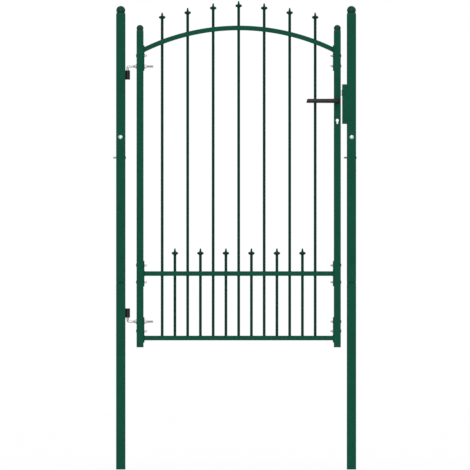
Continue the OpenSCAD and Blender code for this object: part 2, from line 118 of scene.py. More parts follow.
class GateSizes(PropertyGroup):
    """Sizes of the fasteners and welds."""

    head_d: mm_size("Bolt head", "Diameter of the dome heads on the stiles", 16)
    head_h: mm_size("Bolt head height", "Height of the dome heads on the stiles", 2.6)
    bolt_d: mm_size("Plate bolt", "Thread diameter of the end plates' bolts", 6)
    bolt_end: mm_size("Bolt end", "Length of thread that shows past a plate bolt's nut", 4.5)
    bolt_nut_w: mm_size("Plate nut", "Width across the flats of a plate bolt's nut", 10)
    bolt_nut_h: mm_size("Plate nut height", "Height of a plate bolt's nut", 5)
    hook_nut_w: mm_size("Hook nut", "Width across the flats of a hook bolt's nut", 16)
    hook_nut_h: mm_size("Hook nut height", "Height of a hook bolt's nut", 7)
    washer_t: mm_size("Washer", "Thickness of the washers", 1.6)
    thread_pitch: mm_size("Thread pitch", "Distance between two turns of a thread", 1.5)
    screw_d: mm_size("Post screw", "Diameter of the screw heads on the posts", 15.5)
    bead_r: mm_size("Weld bead", "Radius of the weld beads round the rails", 1.8)
    turns: IntProperty(
        name="Turns", description="Points round a turned surface", default=48, min=12, max=96)


class GateColours(PropertyGroup):
    """Colours of the finishes."""

    coat: hex_colour("Powder coat", "Green of the coated steel", "#0a4836")
    black: hex_colour("Black paint", "Black of the hinge barrels", "#0b0b0b")
    nylon: hex_colour("Nylon", "Black of the levers and their roses", "#1c1b1b")
    zinc: hex_colour("Zinc", "Grey of the plated fasteners", "#b2b3b2")
    # The bright zinc's faint green tint is a painted reflection of the green coat.
    bright: hex_colour("Bright zinc", "Pale grey of the posts' screws and studs", "#b6c1bc")
    plug: hex_colour("Plugs", "Black of the foot plugs", "#17181a")


# Surfaces

BASES = {
    "+X": np.array([[0, 1, 0], [0, 0, 1], [1, 0, 0]], float),
    "-X": np.array([[0, 0, 1], [0, 1, 0], [-1, 0, 0]], float),
    "-Y": np.array([[1, 0, 0], [0, 0, 1], [0, -1, 0]], float),
}


def spots(x, y, z):
    """Points from X, Y and Z values, each one number or an array."""
    return np.stack(np.broadcast_arrays(x, y, z), axis=-1)


def circle(count):
    """Equal angles once round, without the closing one."""
    return np.arange(count) * (2 * math.pi / count)


def arc(centre, radius, start, end, count):
    """Points of an arc in a profile plane: centre + radius (cos a, sin a)."""
    angle = np.radians(np.linspace(start, end, count))
    return np.stack([centre[0] + radius * np.cos(angle), centre[1] + radius * np.sin(angle)], axis=-1)


def revolve(radius, height, count):
    """Points round +Z, whose radius and height go by row, or by row and column:
    x = r cos a, y = r sin a, z = h."""
    angle = circle(count)
    return spots(radius * np.cos(angle), radius * np.sin(angle), height)


def turn(profile, count):
    """Profile points (radius, height) carried round +Z."""
    radius, height = np.asarray(profile, float).T[..., None]
    return revolve(radius, height, count)


def aim(grid, direction):
    """Turns a surface made round +Z so that its axis points along a frame axis."""
    return grid @ BASES[direction]


def copies(grid, places):
    """One copy of a surface at each place."""
    return grid[None] + np.asarray(places, float)[:, None, None, :]


DOME_ROWS = 10


def dome_profile(diameter, height):
    """A low dome: the arc of a circle through the rim and the top, closed underneath."""
    half = diameter / 2
    radius = (half ** 2 + height ** 2) / (2 * height)
    edge = math.degrees(math.asin((radius - height) / radius))
    cap = arc((0, height - radius), radius, edge, 90, DOME_ROWS)
    return np.concatenate([[[0, 0]], cap])


def hexagon(angle, across):
    """Distance from the middle of a hexagon to its edge: half the flats over cos of the
    angle from the nearest flat."""
    side = math.pi / 3
    return across / 2 / np.cos((angle + side / 2) % side - side / 2)


# A nut's flat face by its width across the flats, the slope of the cone that cuts its corners,
# and the width of the chamfer at its bore
NUT_FACE = 0.96
NUT_SLOPE = math.tan(math.radians(30))
NUT_LEAD = 0.4 * MM


def nut(across, height, bore, count):
    """A nut: a hexagon whose corners a cone cuts at both ends, with a bore down the middle. Each
    point of the hexagon's edge lies below the face by its way past the face's circle times the
    cone's slope."""
    hexed = hexagon(circle(count), across)
    face = NUT_FACE * across / 2
    drop = (hexed - face) * NUT_SLOPE
    hole, rim = bore / 2, bore / 2 + NUT_LEAD
    low, high = NUT_LEAD, height - NUT_LEAD
    radii = [hole, rim, face, hexed, hexed, face, rim, hole, hole]
    levels = [low, 0, 0, drop, height - drop, height, height, high, low]
    r, z = (np.stack([np.broadcast_to(row, count) for row in rows]) for rows in (radii, levels))
    return revolve(r, z, count)


WASHER_EDGE = 0.3 * MM


def washer(outer, bore, thickness, count):
    """A flat ring with broken edges, turned from a closed profile."""
    hole, rim, edge = bore / 2, outer / 2, WASHER_EDGE
    profile = [
        [hole, 0], [rim - edge, 0], [rim, edge], [rim, thickness - edge],
        [rim - edge, thickness], [hole, thickness], [hole, 0],
    ]
    return turn(profile, count)


# Rows of points to a turn of thread, a stud's depth of thread by its pitch, and the height of its
# chamfered tip by that depth
THREAD_ROWS = 6
STUD_CUT = 0.42
STUD_TIP = 1.2


def thread_depth(along, angle, pitch, depth):
    """Depth of a screw thread: a triangle wave of the height less the turn's share of a pitch."""
    phase = (along / pitch - angle / (2 * math.pi)) % 1
    return depth * np.abs(2 * phase - 1)


def stud(radius, length, pitch, count):
    """A threaded end along +Z: its radius less the thread's depth, with a closed foot and a tip
    chamfered at 45 degrees."""
    depth = STUD_CUT * pitch
    rows = np.linspace(0, length, int(THREAD_ROWS * length / pitch))
    rows = np.concatenate([[0], rows, [length]])[:, None]
    r = radius - thread_depth(rows, circle(count), pitch, depth)
    tip = radius - (rows - length + STUD_TIP * depth)
    r = np.minimum(r, np.maximum(radius - depth, tip))
    r[0], r[-1] = 0, 0
    return revolve(r, rows, count)


# Heights of a recess's rim, the foot of its wall and its middle, as shares of the head's height.
# They take the place of the dome's last rows.
RECESS = np.array([0.98, 0.35, 0.3])


def screw_head(diameter, height, recess, count):
    """A pan head: a dome whose middle sinks into a hexagonal drive recess."""
    dome = dome_profile(diameter, height)[:-len(RECESS)]
    drive = hexagon(circle(count), recess)
    radius = np.concatenate([np.repeat(dome[:, :1], count, axis=1), [drive, drive, 0 * drive]])
    z = np.append(dome[:, 1], height * RECESS)
    return revolve(radius, z[:, None], count)


def resample(path, step):
    """The same path with points at equal steps along its length."""
    length = np.append(0, np.cumsum(np.linalg.norm(np.diff(path, axis=0), axis=1)))
    count = max(3, int(length[-1] / step))
    even = np.linspace(0, length[-1], count)
    return np.stack([np.interp(even, length, path[:, k]) for k in range(3)], axis=-1), even


# Length of a weld's puddle, the rows of points to each, how far it swells the bead, and the points
# round the bead
PUDDLE = 3.2 * MM
PUDDLE_ROWS = 6
PUDDLE_SWELL = 0.09
BEAD_COLUMNS = 10


def bead(path, radius, closed):
    """A weld bead on a face that looks along X: a circle carried along a path, whose radius swells
    once per puddle. An open bead closes to a point at both ends."""
    path, along = resample(path, PUDDLE / PUDDLE_ROWS)
    if closed:
        path, along = path[:-1], along[:-1]
    swell = 1 + PUDDLE_SWELL * np.sin(2 * math.pi * along / PUDDLE)
    tangent = np.roll(path, -1, axis=0) - np.roll(path, 1, axis=0)
    if not closed:
        end = np.minimum(along, along[-1] - along) / radius
        swell = swell * np.sqrt(np.clip(end * (2 - np.minimum(end, 1)), 0, 1))
        tangent[0], tangent[-1] = path[1] - path[0], path[-1] - path[-2]
    tangent /= np.linalg.norm(tangent, axis=1)[:, None]
    outward = np.array([1.0, 0, 0])
    side = np.cross(tangent, outward)
    angle = circle(BEAD_COLUMNS)[None, :, None]
    ring = np.cos(angle) * side[:, None] + np.sin(angle) * outward
    return path[:, None] + (radius * swell)[:, None, None] * ring


CORNER_ROWS = 6


def rounded_loop(width, height, corner, brace=0):
    """A rectangle with round corners in the YZ plane, as a closed path round the origin. A brace
    adds a point on the flat that far before and after each corner, which keeps the flats flat."""
    bends = []
    for sy, sz, start in ((1, 1, 0), (-1, 1, 90), (-1, -1, 180), (1, -1, 270)):
        centre = (sy * (width / 2 - corner), sz * (height / 2 - corner))
        bend = arc(centre, corner, start, start + 90, CORNER_ROWS)
        if brace:
            sine, cosine = math.sin(math.radians(start)), math.cos(math.radians(start))
            lead = bend[:1] + brace * np.array([sine, -cosine])
            trail = bend[-1:] - brace * np.array([cosine, sine])
            bend = np.concatenate([lead, bend, trail])
        bends.append(bend)
    loop = np.concatenate(bends + [bends[0][:1]])
    return spots(0, loop[:, 0], loop[:, 1])


# Edges sharper than this stay sharp, and points nearer than this are one point
SHARP = math.radians(32)
MERGE = 0.001 * MM


def add_piece(name, grids, body, material, closed=False, sharp=SHARP):
    """Puts grids of points into one mesh. Each grid is (copies, rows, columns, xyz) or one copy of
    that. Its columns join up, and its rows do too where the surfaces are said to be closed."""
    points, faces, start = [], [], 0
    for grid in grids:
        grid = grid.reshape((-1,) + grid.shape[-3:])
        index = np.arange(grid[..., 0].size).reshape(grid.shape[:3]) + start
        above = np.roll(index, -1, axis=1)
        if not closed:
            index, above = index[:, :-1], above[:, :-1]
        quads = np.stack([index, np.roll(index, -1, 2), np.roll(above, -1, 2), above], axis=-1)
        points.append(grid.reshape(-1, 3))
        faces.append(quads.reshape(-1, 4))
        start += grid[..., 0].size
    mesh = bpy.data.meshes.new(name)
    mesh.from_pydata(np.concatenate(points).tolist(), [], np.concatenate(faces).tolist())
    shell = bmesh.new()
    shell.from_mesh(mesh)
    bmesh.ops.remove_doubles(shell, verts=shell.verts, dist=MERGE)
    bmesh.ops.recalc_face_normals(shell, faces=shell.faces)
    shell.to_mesh(mesh)
    shell.free()
    mesh.polygons.foreach_set("use_smooth", np.ones(len(mesh.polygons), bool))
    mesh.set_sharp_from_angle(angle=sharp)
    mesh.materials.append(material)
    piece = bpy.data.objects.new(name, mesh)
    bpy.context.scene.collection.objects.link(piece)
    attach(piece, body)
    return piece


# Finishes

def add_node(tree, kind, links=None, settings=None, **values):
    """Adds a node, sets its properties and input values, and links other nodes' outputs to it."""
    made = tree.nodes.new(kind)
    for key, value in (settings or {}).items():
        setattr(made, key, value)
    for key, value in values.items():
        made.inputs[key.replace("_", " ")].default_value = value
    for key, output in (links or {}).items():
        tree.links.new(output, made.inputs[key])
    return made


def per_mm(size):
    """Scale of a noise whose features are about size millimetres across."""
    return 1 / (size * MM)


def shade(colour, factor):
    """A colour made darker or lighter."""
    return [float(c) * factor for c in colour]


# Most of a noise's values lie between these two
NOISE_LOW, NOISE_HIGH = 0.3, 0.7


def finish(name, colour, metallic, rough, rough_spread, cloud, cloud_mm, grain, grain_mm, relief,
           specular):
    """A coated or plated surface on Object coordinates: a cloud of lighter and darker colour,
    a finer grain on top of it, a roughness that wanders with the cloud, and the grain's relief."""
    material = bpy.data.materials.new(name)
    material.use_nodes = True
    tree = material.node_tree
    shader = tree.nodes["Principled BSDF"]
    place = add_node(tree, "ShaderNodeTexCoord").outputs["Object"]
    clouds = add_node(tree, "ShaderNodeTexNoise", {"Vector": place},
                      Scale=per_mm(cloud_mm), Detail=4.0, Roughness=0.6).outputs["Fac"]
    grains = add_node(tree, "ShaderNodeTexNoise", {"Vector": place},
                      Scale=per_mm(grain_mm), Detail=2.0, Roughness=0.55).outputs["Fac"]
    tint = add_node(tree, "ShaderNodeValToRGB", {"Fac": clouds})
    dark, pale = tint.color_ramp.elements
    dark.position, dark.color = NOISE_LOW, shade(colour, 1 - cloud) + [1]
    pale.position, pale.color = NOISE_HIGH, shade(colour, 1 + cloud) + [1]
    span = {"From_Min": NOISE_LOW, "From_Max": NOISE_HIGH}
    light = add_node(tree, "ShaderNodeMapRange", {"Value": grains},
                     To_Min=1 - grain, To_Max=1 + grain, **span)
    speck = add_node(tree, "ShaderNodeVectorMath",
                     {0: tint.outputs["Color"], "Scale": light.outputs["Result"]},
                     {"operation": "SCALE"})
    gloss = add_node(tree, "ShaderNodeMapRange", {"Value": clouds},
                     To_Min=rough - rough_spread, To_Max=rough + rough_spread, **span)
    bumps = add_node(tree, "ShaderNodeBump", {"Height": grains}, Strength=1.0, Distance=relief * MM)
    tree.links.new(speck.outputs["Vector"], shader.inputs["Base Color"])
    tree.links.new(gloss.outputs["Result"], shader.inputs["Roughness"])
    tree.links.new(bumps.outputs["Normal"], shader.inputs["Normal"])
    shader.inputs["Metallic"].default_value = metallic
    shader.inputs["Specular IOR Level"].default_value = specular
    return material


# Painted shade: how much darker the bars, the caps and the sleeves are drawn than the coat and the
# black paint, standing in for the shade round the thin bars, on the balls' rims and in the posts'
# joint grooves
BAR_PAINTED_SHADE, CAP_PAINTED_SHADE, SLEEVE_PAINTED_SHADE = 0.5, 0.74, 0.5


def finishes():
    """The gate's materials, made once and then found by name."""
    colours = bpy.context.scene.gate_colours
    recipes = {
        # Powder-coated steel: resin powder melted to a satin film. Its orange peel is about 2 mm
        # across and is drawn at 3.5 mm to show; its colour clouds over a hand's breadth.
        "powder-coated steel": dict(
            colour=colours.coat, metallic=0.0, rough=0.36, rough_spread=0.06, cloud=0.09,
            cloud_mm=80, grain=0.09, grain_mm=3.5, relief=0.16, specular=0.05),
        # The same coat on thin round bar, with a finer peel. Its colour is drawn darker as painted
        # shade, standing in for the shading round the bar.
        "powder-coated bar with painted shade": dict(
            colour=shade(colours.coat, BAR_PAINTED_SHADE), metallic=0.0, rough=0.36, rough_spread=0.06,
            cloud=0.05, cloud_mm=60, grain=0.03, grain_mm=2.5, relief=0.02, specular=0.05),
        # Moulded plastic caps, finer in grain and a little glossier. Their colour is drawn darker
        # than the coat as painted shade, standing in for the shade on the balls' rims.
        "moulded green plastic with painted shade": dict(
            colour=shade(colours.coat, CAP_PAINTED_SHADE), metallic=0.0, rough=0.34, rough_spread=0.05,
            cloud=0.06, cloud_mm=30, grain=0.05, grain_mm=2, relief=0.06, specular=0.11),
        # Black painted steel of the hinge barrels: thin paint over a rolled tube.
        "black painted steel": dict(
            colour=colours.black, metallic=0.0, rough=0.3, rough_spread=0.06, cloud=0.2,
            cloud_mm=14, grain=0.15, grain_mm=2.5, relief=0.1, specular=0.25),
        # Steel of the sleeves in the posts' joints, drawn near black as painted shade so that the
        # groove between the post tubes reads dark; dull, seen only in the groove.
        "sleeve steel with painted shade": dict(
            colour=shade(colours.black, SLEEVE_PAINTED_SHADE), metallic=0.0, rough=0.6, rough_spread=0.08,
            cloud=0.2, cloud_mm=20, grain=0.15, grain_mm=2, relief=0.06, specular=0.04),
        # Glass-filled nylon of the levers: a fine spark-eroded grain, drawn at 1.6 mm to show.
        "moulded black nylon": dict(
            colour=colours.nylon, metallic=0.0, rough=0.38, rough_spread=0.05, cloud=0.12,
            cloud_mm=20, grain=0.12, grain_mm=1.6, relief=0.07, specular=0.22),
        # Zinc plate: a thin metal layer with faint patches from the bath.
        "zinc-plated steel": dict(
            colour=colours.zinc, metallic=1.0, rough=0.3, rough_spread=0.08, cloud=0.1,
            cloud_mm=9, grain=0.06, grain_mm=1.6, relief=0.03, specular=0.5),
        # Zinc on the posts' screws and studs: a little paler and shinier than the hook bolts, with a
        # faint green tint that is a painted reflection of the green coat round them.
        "bright zinc plate": dict(
            colour=colours.bright, metallic=1.0, rough=0.22, rough_spread=0.05, cloud=0.05,
            cloud_mm=6, grain=0.04, grain_mm=1.6, relief=0.02, specular=0.5),
        # Polyethylene foot plugs: soft black plastic with a dull moulded face.
        "polyethylene": dict(
            colour=colours.plug, metallic=0.0, rough=0.55, rough_spread=0.06, cloud=0.15,
            cloud_mm=12, grain=0.1, grain_mm=1.6, relief=0.07, specular=0.2),
    }
    made = bpy.data.materials
    return {name: made.get(name) or finish(name, **recipe) for name, recipe in recipes.items()}


SLOT_FINISH = {
    "green_coat": "powder-coated steel",
    "green_plastic": "moulded green plastic with painted shade",
    "black_coat": "black painted steel",
    "black_nylon": "moulded black nylon",
    "zinc": "zinc-plated steel",
    "plug_plastic": "polyethylene",
}
# The joint sleeves take a near-black finish as painted shade in the groove between the post tubes.
NODE_FINISH = {"post_sleeves": "sleeve steel with painted shade"}


class GATE_OT_coat(Operator):
    """Give every CAD piece the finish of its material slot."""

    bl_idname = "gate.coat"
    bl_label = "Coat the Frame"

    def execute(self, context):
        made = finishes()
        for part in frame["record"]["subparts"]:
            name = NODE_FINISH.get(part["node"], SLOT_FINISH[part["material_slot"]])
            mesh = frame["nodes"][part["node"]].data
            mesh.materials.clear()
            mesh.materials.append(made[name])
        return {"FINISHED"}


# Caps

# Thickness of a cap's flange, the height and width of the slope round its top, and the round of
# its edges
FLANGE_T = 6.5 * MM
FLANGE_SLOPE_H = 5.5 * MM
FLANGE_SLOPE_W = 1.2 * MM
FLANGE_SOFT = 0.6 * MM
# Width of the fillet under the ball, the place of its middle point, out from the ball and up from
# the flange, as shares of that, and the angle of the ball that it takes up
FILLET = 1.2 * MM
FILLET_OUT, FILLET_UP = 0.35, 0.2
FILLET_ANGLE = 4
BALL_ROWS = 26
CAP_COLUMNS = 160
# Corner of the tube, diameter of the ball, and the rise of the ball's middle above the flange
POST_BALL = (3 * MM, 39 * MM, 11.5 * MM)
STILE_BALL = (2.5 * MM, 30 * MM, 7 * MM)
CAPS = (
    ("hinge_post", "hinge_post_upper", "posts", POST_BALL),
    ("latch_post", "latch_post_upper", "posts", POST_BALL),
    ("hinge_stile", "hinge_stile", "leaf", STILE_BALL),
    ("latch_stile", "latch_stile", "leaf", STILE_BALL),
)


def round_square(half, corner, angle):
    """Distance from the middle of a square with round corners to its edge: half the side over
    the cosine of the angle from the nearest flat, or the far side of the corner's circle."""
    turned = np.abs((angle + math.pi / 4) % (math.pi / 2) - math.pi / 4)
    core = half - corner
    flat = half / np.cos(turned)
    lean = core * (np.cos(turned) + np.sin(turned))
    bow = core * (np.cos(turned) - np.sin(turned))
    round_off = lean + np.sqrt(np.maximum(corner ** 2 - bow ** 2, 0))
    return np.where(np.tan(turned) * half <= core, flat, round_off)


def ball_cap(half, corner, ball_d, rise, count):
    """A ball cap on the end of a tube at z = 0: rows of round squares that lean in round the
    flange, then circles whose radius follows the ball, with a small fillet between the two."""
    top, lean, soft = FLANGE_T, FLANGE_SLOPE_W, FLANGE_SOFT
    slope = top - FLANGE_SLOPE_H
    # Height of each row of the flange, and how far in from the tube's face it lies
    level, into = np.array([
        (0, 0), (0.15 * MM, 0), (slope - 0.3 * MM, 0), (slope, 0.1 * MM),
        (top - 1.2 * soft, lean - 0.12 * MM), (top - 0.5 * soft, lean + 0.1 * MM),
        (top - 0.15 * soft, lean + 0.35 * MM), (top, lean + soft),
    ]).T[..., None]
    squares = round_square(half - into, np.maximum(corner - into, soft), circle(count))
    ball = ball_d / 2
    neck = math.degrees(math.asin(-rise / ball))
    neck_r = math.sqrt(ball ** 2 - rise ** 2)
    lift = np.radians(np.linspace(neck + FILLET_ANGLE, 90, BALL_ROWS))
    circles = np.append([neck_r + FILLET, neck_r + FILLET_OUT * FILLET], ball * np.cos(lift))
    circle_z = np.append([top, top + FILLET_UP * FILLET], top + rise + ball * np.sin(lift))
    radius = np.concatenate([np.zeros((1, count)), squares, np.repeat(circles[:, None], count, 1)])
    z = np.concatenate([[0], level[:, 0], circle_z])
    return revolve(radius, z[:, None], count)


class GATE_OT_caps(Operator):
    """Add the ball caps on the posts and the stiles."""

    bl_idname = "gate.caps"
    bl_label = "Ball Caps"

    def execute(self, context):
        plastic = finishes()["moulded green plastic with painted shade"]
        for name, tube, body, ball in CAPS:
            low, high = corners(tube)
            cap = ball_cap((high[1] - low[1]) / 2, *ball, CAP_COLUMNS)
            place = [middle(tube)[0], 0, high[2]]
            piece = add_piece(f"{name}_ball", [cap + place], body, plastic)
            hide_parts(f"{name}_cap")
        return {"FINISHED"}


# Rails and pickets

# Span and rise of the arched rail's axis and its rows of points, the round of the rails' corners,
# and how far from each corner a point braces the flat
ARCH_SPAN = 821 * MM
ARCH_RISE = 95 * MM
ARCH_ROWS = 121
RAIL_CORNER = 2 * MM
RAIL_BRACE = 0.4 * MM


def arch_line(x, out=0):
    """Height and slope at x of a line that lies out from the arched rail's axis: the upper arc of
    a circle, z = centre + sqrt((radius + out)^2 - x^2), with x from the middle of the gate."""
    radius = ((ARCH_SPAN / 2) ** 2 + ARCH_RISE ** 2) / (2 * ARCH_RISE)
    crown = ARCH_HIGH[2] - (ARCH_HIGH[1] - ARCH_LOW[1]) / 2
    off = x - (ARCH_LOW[0] + ARCH_HIGH[0]) / 2
    root = np.sqrt((radius + out) ** 2 - off ** 2)
    return crown - radius + root, -off / root


def arch_tube(rows):
    """The arched rail: each point of a square section with round corners runs along its own arc
    from one upright end to the other, and each end closes to its middle."""
    side = ARCH_HIGH[1] - ARCH_LOW[1]
    _, y, out = rounded_loop(side, side, RAIL_CORNER, RAIL_BRACE)[:-1].T
    x = np.linspace(ARCH_LOW[0], ARCH_HIGH[0], rows)[:, None]
    wall = spots(x, y, arch_line(x, out)[0])
    first, last = (np.broadcast_to(end.mean(axis=0), (1,) + end.shape) for end in (wall[0], wall[-1]))
    return np.concatenate([first, wall, last])


class GATE_OT_arch(Operator):
    """Add the arched top rail as one smooth bent tube."""

    bl_idname = "gate.arch"
    bl_label = "Arched Rail"

    def execute(self, context):
        coat = finishes()["powder-coated steel"]
        piece = add_piece("arched_rail", [arch_tube(ARCH_ROWS)], "leaf", coat)
        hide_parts("top_arch")
        return {"FINISHED"}


# A picket's bar and spear head. The collar's drop goes from the tip down to the top of its rim.
PICKET_D = 12 * MM
SPEAR_H = 30 * MM
SPEAR_SOFT = 1 * MM
COLLAR_D = 28.5 * MM
COLLAR_DROP = 20.5 * MM
COLLAR_RIM = 2.5 * MM
SHOULDER_H = 4.5 * MM
SHOULDER_IN = 2.5 * MM
LEDGE_H = 1 * MM
POINT_BASE_D = 10.5 * MM
POINT_TIP_D = 6 * MM
SOFT_SHARE = 0.4
FLARE_ROWS, POINT_ROWS, SOFT_ROWS = 10, 6, 5


def soften(profile, radius):
    """A profile whose inner points become short curves: each is the quadratic curve between the
    two spots that lie one radius, or four tenths of the stretch, before and after the point."""
    before, point, after = profile[:-2], profile[1:-1], profile[2:]
    to_before, to_after = before - point, after - point
    length_b = np.linalg.norm(to_before, axis=1, keepdims=True)
    length_a = np.linalg.norm(to_after, axis=1, keepdims=True)
    start = point + to_before * np.minimum(SOFT_SHARE, radius / length_b)
    end = point + to_after * np.minimum(SOFT_SHARE, radius / length_a)
    t = np.linspace(0, 1, SOFT_ROWS)[None, :, None]
    curve = start[:, None] * (1 - t) ** 2 + point[:, None] * 2 * t * (1 - t) + end[:, None] * t ** 2
    return np.concatenate([profile[:1], curve.reshape(-1, 2), profile[-1:]])


def picket_profile(foot, tip):
    """A picket's radius by height: a straight bar, a flare that rises by half a cosine, the
    collar's rim, its shoulder and ledge, and the point with a rounded end."""
    rise = np.linspace(0, 1, FLARE_ROWS)
    flare_h = SPEAR_H - COLLAR_DROP - COLLAR_RIM
    flare = np.stack([
        PICKET_D / 2 + (COLLAR_D - PICKET_D) / 4 * (1 - np.cos(math.pi * rise)),
        tip - SPEAR_H + flare_h * rise], axis=-1)
    shoulder_z = tip - COLLAR_DROP + SHOULDER_H
    end = arc((0, tip - POINT_TIP_D / 2), POINT_TIP_D / 2, 0, 90, POINT_ROWS)
    head = np.array([
        flare[-2], flare[-1],
        [COLLAR_D / 2, tip - COLLAR_DROP],
        [COLLAR_D / 2 - SHOULDER_IN, shoulder_z],
        [POINT_BASE_D / 2, shoulder_z + LEDGE_H],
        end[0],
    ])
    base = [[0, foot], [PICKET_D / 2, foot]]
    return np.concatenate([base, flare[:-2], soften(head, SPEAR_SOFT), end[1:]])


class GATE_OT_pickets(Operator):
    """Add the tall and short pickets with their spear heads, smooth and softened at the edges."""

    bl_idname = "gate.pickets"
    bl_label = "Pickets"

    def execute(self, context):
        s, coat = context.scene.gate_sizes, finishes()["powder-coated bar with painted shade"]
        bars = []
        for node in TALL + SHORT:
            low, high = corners(node)
            bar = turn(picket_profile(low[2], high[2]), s.turns)
            bars.append(bar + [middle(node)[0], 0, 0])
        piece = add_piece("spear_pickets", bars, "leaf", coat)
        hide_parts(*TALL, *SHORT)
        return {"FINISHED"}


# Bolts and hooks

# Heights of the plate bolts in the hinge stile and in the latch stile
HINGE_BOLTS_Z = np.array([597.0, 808.0, 881.0, 1784.5]) * MM
LATCH_BOLTS_Z = np.array([597.0, 638.0, 808.0, 881.0, 1740.0, 1784.5]) * MM
# A washer's width and a nut's bore by the bolt's diameter
WASHER_SHARE = 2
BORE_SHARE = 0.9


class GATE_OT_plate_bolts(Operator):
    """Add the bolts that hold the end plates to the stiles: dome heads outside, nuts inside."""

    bl_idname = "gate.plate_bolts"
    bl_label = "Plate Bolts"

    def execute(self, context):
        s, made = context.scene.gate_sizes, finishes()
        dome = turn(dome_profile(s.head_d, s.head_h), s.turns)
        ring = washer(WASHER_SHARE * s.bolt_d, s.bolt_d, s.washer_t, s.turns)
        six = nut(s.bolt_nut_w, s.bolt_nut_h, BORE_SHARE * s.bolt_d, s.turns)
        end_len = s.washer_t + s.bolt_nut_h + s.bolt_end
        end = stud(s.bolt_d / 2, end_len, s.thread_pitch, s.turns // 2)
        sides = [
            ("-X", "+X", STILE_LOW[0], PLATE_HIGH[0], s.washer_t, HINGE_BOLTS_Z),
            ("+X", "-X", LATCH_STILE_HIGH[0], LATCH_PLATE_LOW[0], -s.washer_t, LATCH_BOLTS_Z),
        ]
        heads, rings, nuts, ends = [], [], [], []
        for out, into, head_x, plate_x, past_washer, heights in sides:
            on_plate = spots(plate_x, 0, heights)
            heads.append(copies(aim(dome, out), spots(head_x, 0, heights)))
            rings.append(copies(aim(ring, into), on_plate))
            nuts.append(copies(aim(six, into), on_plate + [past_washer, 0, 0]))
            ends.append(copies(aim(end, into), on_plate))
        add_piece("plate_bolt_heads", heads, "leaf", made["powder-coated steel"])
        add_piece("plate_bolt_nuts", nuts + rings, "leaf", made["zinc-plated steel"])
        add_piece("plate_bolt_ends", ends, "leaf", made["zinc-plated steel"])
        return {"FINISHED"}


# Radius of a hook bolt's bend at its axis and its rows of points, the X where its thread starts,
# the chamfer of its ends, how far from the bend the next rows lie, and its thread's depth by its
# pitch
HOOK_BEND = 8 * MM
HOOK_BEND_ROWS = 18
HOOK_THREAD_X = 54 * MM
HOOK_CHAMFER = 1 * MM
HOOK_NEXT = 2 * MM
HOOK_CUT = 0.4


def hook_rod(box, up, pitch, count):
    """A hook bolt: a circle carried up its pin, round the bend and along its level stretch,
    with a thread cut into the far end and chamfered ends. Also gives the level stretch's height."""
    low, high = box
    radius = (high[1] - low[1]) / 2
    axis_x, tail_x = low[0] + radius, high[0]
    sign = -1 if up else 1
    level = low[2] + radius if up else high[2] - radius
    foot = high[2] if up else low[2]
    way = np.radians(np.linspace(180, 90, HOOK_BEND_ROWS))
    bend_x = axis_x + HOOK_BEND + HOOK_BEND * np.cos(way)
    bend_z = level + sign * HOOK_BEND * (np.sin(way) - 1)
    pin_z = [foot, foot, foot + sign * HOOK_CHAMFER, bend_z[0] - sign * HOOK_NEXT]
    cut_rows = int(THREAD_ROWS * (tail_x - HOOK_THREAD_X) / pitch)
    cut_x = np.linspace(HOOK_THREAD_X, tail_x, cut_rows)
    level_x = np.concatenate([[bend_x[-1] + HOOK_NEXT], cut_x, [tail_x]])
    x = np.concatenate([np.full(len(pin_z), axis_x), bend_x, level_x])
    z = np.concatenate([pin_z, bend_z, np.full(len(level_x), level)])
    tx, tz = np.gradient(x), np.gradient(z)
    bent = len(pin_z) + len(bend_x)
    tx[:len(pin_z)], tz[:len(pin_z)] = 0, sign
    tx[bent:], tz[bent:] = 1, 0
    size = np.hypot(tx, tz)
    x, z, tx, tz = (row[:, None] for row in (x, z, tx / size, tz / size))
    angle = circle(count)
    cut = thread_depth(x, angle, pitch, HOOK_CUT * pitch)
    r = radius - np.where(x > HOOK_THREAD_X, cut, 0)
    r = np.minimum(r, radius - np.clip(x - tail_x + HOOK_CHAMFER, 0, HOOK_CHAMFER))
    r[0], r[1], r[-1] = 0, radius - HOOK_CHAMFER, 0
    side = r * np.cos(angle)
    return spots(x - tz * side, r * np.sin(angle), z + tx * side), level


class GATE_OT_hinge_hooks(Operator):
    """Add the two threaded hook bolts with their nuts and washers on both sides of the stile."""

    bl_idname = "gate.hinge_hooks"
    bl_label = "Hinge Hooks"

    def execute(self, context):
        s, zinc = context.scene.gate_sizes, finishes()["zinc-plated steel"]
        rod_d = HOOKS["upper"][1][1] - HOOKS["upper"][0][1]
        ring = washer(WASHER_SHARE * rod_d, rod_d, s.washer_t, s.turns)
        six = nut(s.hook_nut_w, s.hook_nut_h, BORE_SHARE * rod_d, s.turns)
        levels = []
        for name, up in (("upper", False), ("lower", True)):
            rod, level = hook_rod(HOOKS[name], up, s.thread_pitch, s.turns // 2)
            piece = add_piece(f"{name}_hook_bolt", [rod], "leaf", zinc)
            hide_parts(f"{name}_hinge_hook")
            levels.append(level)
        sides = [("-X", STILE_LOW[0], -s.washer_t), ("+X", PLATE_HIGH[0], s.washer_t)]
        parts = []
        for way, face, past_washer in sides:
            parts.append(copies(aim(ring, way), spots(face, 0, levels)))
            parts.append(copies(aim(six, way), spots(face + past_washer, 0, levels)))
        add_piece("hook_nuts", parts, "leaf", zinc)
        return {"FINISHED"}


# Height of the post screws above the ground and how far each lies from its post's middle, the
# height of a head and its drive recess, and how far the head stands off the post
POST_SCREW_Z = 1434 * MM
POST_SCREW_OUT = np.array([-1, 1]) * MM
POST_SCREW_H = 3 * MM
POST_SCREW_DRIVE = 6 * MM
POST_SCREW_OFF = 0.6 * MM
# How much wider than the head its washer is, and the washer's bore and thickness
POST_WASHER_MORE = 1.5 * MM
POST_WASHER_BORE = 6 * MM
POST_WASHER_T = 0.8 * MM
# Diameter and height of a fence bolt's head, and the diameter and length of its stud
FENCE_DOME = (14 * MM, 2.5 * MM)
FENCE_STUD_D = 8 * MM
FENCE_STUD = 13 * MM


